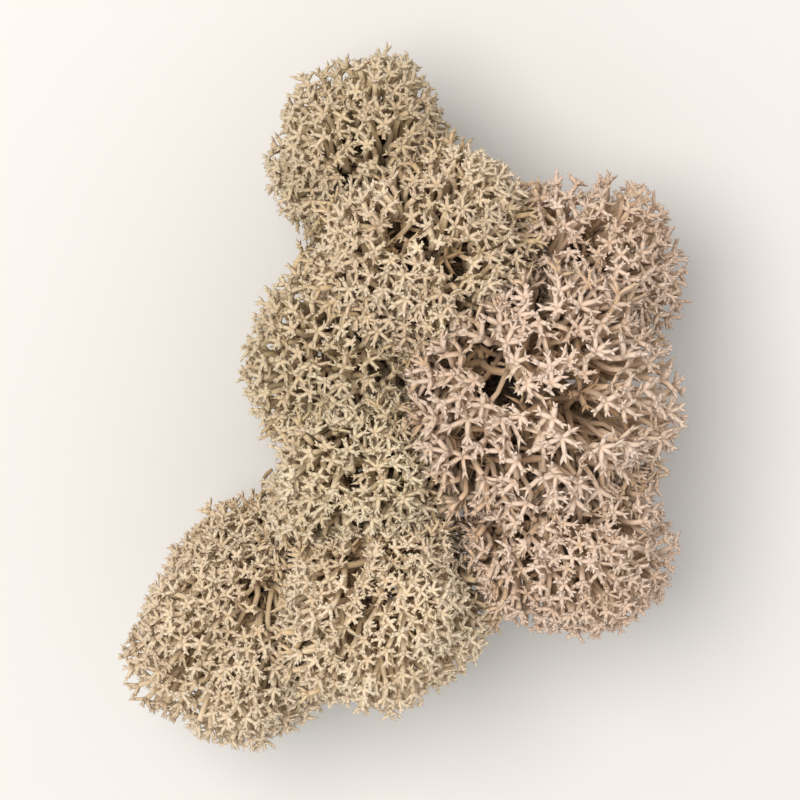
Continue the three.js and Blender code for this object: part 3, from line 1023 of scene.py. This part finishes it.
# %% [markdown]
# ## Colours
# Every colour is read from the map place: across it the age of the branch runs through a colour ramp, from
# the pale tips over tan to the grey-mauve stalks, and up it a second ramp takes over, a little darker and
# greyer, so that no two twigs are quite alike. The older, deeper part of the ramp is darker and warmer than
# the tissue alone: partly its real colour, partly painted shade and warm bounced light inside the head.
# The dried surface is matt and slightly downy, which is a high roughness, a little sheen and a fine grain.

# %% Mix the moss finishes
DOWNY_SURFACE = {"Roughness": 0.95, "Specular IOR Level": 0.25, "Sheen Weight": 0.12, "Sheen Roughness": 0.6}
GRAIN = {"Scale": 2600, "Detail": 3}
GRAIN_BUMP = {"Strength": 0.5, "Distance": 0.00004}

# age in millimetres, then the colour of a light twig and of a dull twig at that age; from 12 mm on, the
# darker, warmer browns are partly older tissue and partly painted shade inside the head
MOSS_COLOURS_AND_PAINTED_SHADE = [
    (0.0, (0.695, 0.61, 0.515), (0.51, 0.415, 0.325)),
    (1.6, (0.70, 0.595, 0.475), (0.515, 0.40, 0.29)),
    (5.0, (0.69, 0.555, 0.40), (0.49, 0.37, 0.235)),
    (12.0, (0.55, 0.395, 0.23), (0.41, 0.28, 0.15)),
    (22.0, (0.36, 0.245, 0.145), (0.28, 0.185, 0.105)),
    (40.0, (0.20, 0.155, 0.13), (0.13, 0.095, 0.075)),
]
# what each finish does to those colours
SLOT_TINTS = {
    "moss_pinkish": (1.0, 0.928, 0.935),
    "moss_cream": (1.01, 0.985, 0.905),
    "moss_greenish": (0.98, 0.975, 0.88),
}


def colour_ramp(nodes, tint, shade):
    """A ramp over the age of a branch, with painted shade in its older colours, for light twigs or dull
    ones.
    """
    ramp = nodes.new("ShaderNodeValToRGB")
    elements = ramp.color_ramp.elements
    while len(elements) < len(MOSS_COLOURS_AND_PAINTED_SHADE):
        elements.new(0.5)
    for element, row in zip(elements, MOSS_COLOURS_AND_PAINTED_SHADE):
        element.position = math.sqrt(row[0] / OLDEST)
        element.color = [part * own for part, own in zip(row[shade], tint)] + [1]
    return ramp


def moss_material(slot):
    """The finish of one slot."""
    material = new_material(slot, DOWNY_SURFACE)
    nodes, links = material.node_tree.nodes, material.node_tree.links
    shader = nodes["Principled BSDF"]

    map_place = nodes.new("ShaderNodeUVMap")
    map_place.uv_map = "OFBake"
    parts = nodes.new("ShaderNodeSeparateXYZ")
    links.new(map_place.outputs["UV"], parts.inputs[0])
    mix = nodes.new("ShaderNodeMix")
    mix.data_type = "RGBA"
    links.new(parts.outputs["Y"], mix.inputs["Factor"])
    for shade, socket in ((1, "A"), (2, "B")):
        ramp = colour_ramp(nodes, SLOT_TINTS[slot], shade)
        links.new(parts.outputs["X"], ramp.inputs["Fac"])
        links.new(ramp.outputs["Color"], [i for i in mix.inputs if i.name == socket and i.type == "RGBA"][0])
    links.new([o for o in mix.outputs if o.type == "RGBA"][0], shader.inputs["Base Color"])

    grain_place = nodes.new("ShaderNodeTexCoord")
    grain = nodes.new("ShaderNodeTexNoise")
    set_inputs(grain, GRAIN)
    bump = nodes.new("ShaderNodeBump")
    set_inputs(bump, GRAIN_BUMP)
    links.new(grain_place.outputs["Object"], grain.inputs["Vector"])
    links.new(grain.outputs["Fac"], bump.inputs["Height"])
    links.new(bump.outputs["Normal"], shader.inputs["Normal"])
    return material


finishes = {slot: moss_material(slot) for slot in SLOT_TINTS}
print("Finishes:", ", ".join(finishes))

# %% [markdown]
# ## Growing the clump
# No two plants are equally pale. On each, two waves make whole patches lighter or duller, and each twig
# strays a little from its patch. A mesh is made of each skin and rides on the part's one body, in the place
# of the plain solid.

# %% Make a mesh of a skin
MILLIMETRE = 0.001


def mesh_of(name, skin, material):
    """A smooth-shaded mesh in metres, with its map."""
    batches = skin.points, skin.places, skin.quads, skin.triangles
    points, places, quads, triangles = map(np.concatenate, batches)
    points = points * MILLIMETRE
    points[:, 2] = np.maximum(points[:, 2], 0)  # the stalks are cut level with the floor
    corners = np.concatenate([quads.ravel(), triangles.ravel()]).astype(np.int32)
    starts = np.concatenate([np.arange(len(quads)) * 4, len(quads) * 4 + np.arange(len(triangles)) * 3])
    mesh = bpy.data.meshes.new(name)
    mesh.vertices.add(len(points))
    mesh.vertices.foreach_set("co", points.astype(np.float32).ravel())
    mesh.loops.add(len(corners))
    mesh.loops.foreach_set("vertex_index", corners)
    mesh.polygons.add(len(starts))
    mesh.polygons.foreach_set("loop_start", starts.astype(np.int32))
    mesh.update(calc_edges=True)
    mesh.polygons.foreach_set("use_smooth", np.ones(len(starts), bool))
    bake_map = mesh.uv_layers.new(name="OFBake")
    bake_map.data.foreach_set("uv", places[corners].astype(np.float32).ravel())
    mesh.materials.append(material)
    return mesh


star_mesh = mesh_of("one_star", sample_skin, finishes["moss_cream"])
print("The mesh of one star has", len(star_mesh.vertices), "corners")
bpy.data.meshes.remove(star_mesh)

# %% Grow a whole plant
BROAD_TINT = 0.22  # how strongly the broad wave and the fine one change the tint
FINE_TINT = 0.3
BRANCH_TINT_STRAY = 0.08
STAR_TINT_STRAY = 0.1
STAR_GROWTH = 0.8  # the power by which stars are larger where they are further apart


def tint_at(plant, points, random, stray):
    """From 0, light, to 1, dull: the plant's own dullness, the two waves and a little chance."""
    waves = BROAD_TINT * broad_tint_wave(points) + FINE_TINT * fine_tint_wave(points)
    return on_map(plant.dullness + waves + random.normal(0, stray, len(points)))


def grow_plant(plant, random):
    """The skin of a whole plant, and how many stars and side twigs are in it."""
    skin = Skin()
    star_count, twig_count = 0, 0
    for layer in LAYERS:
        stars, facing, ages = scatter_stars(plant, layer, random)
        branches = grow_branches(plant, layer, stars, facing, ages, random)
        if layer is INNERMOST:
            branches += dead_stalks(plant, random)
        branch_tints = tint_at(plant, gathered(branches, "end")[0], random, BRANCH_TINT_STRAY)
        skin_branches(skin, branches, branch_tints, random)
        star_size = plant.star * layer.wider**STAR_GROWTH
        star_tints = tint_at(plant, stars, random, STAR_TINT_STRAY)
        add_stars(skin, star_size, stars, facing, ages, star_tints, layer.blunt, random)
        twig_count += add_side_twigs(skin, branches, branch_tints, random)
        star_count += len(stars)
    return skin, star_count, twig_count


dullnesses = [plant.dullness for plant in PLANTS]
print("From the palest plant to the dullest:", min(dullnesses), "to", max(dullnesses))

# %% Put every plant in its place
total = 0
for order, plant in enumerate(PLANTS):
    skin, star_count, twig_count = grow_plant(plant, np.random.default_rng(SEED + order))
    mesh = mesh_of(plant.name + "_moss", skin, finishes[plant.slot])
    piece = placed(mesh.name, mesh)
    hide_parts(plant.name)
    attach(piece, "root")
    total += skin.triangle_count()
    print(f"{mesh.name}: {star_count} stars, {twig_count} side twigs, {skin.triangle_count()} triangles")
print("Triangles in all:", total)

# %% Finish
bpy.context.view_layer.update()
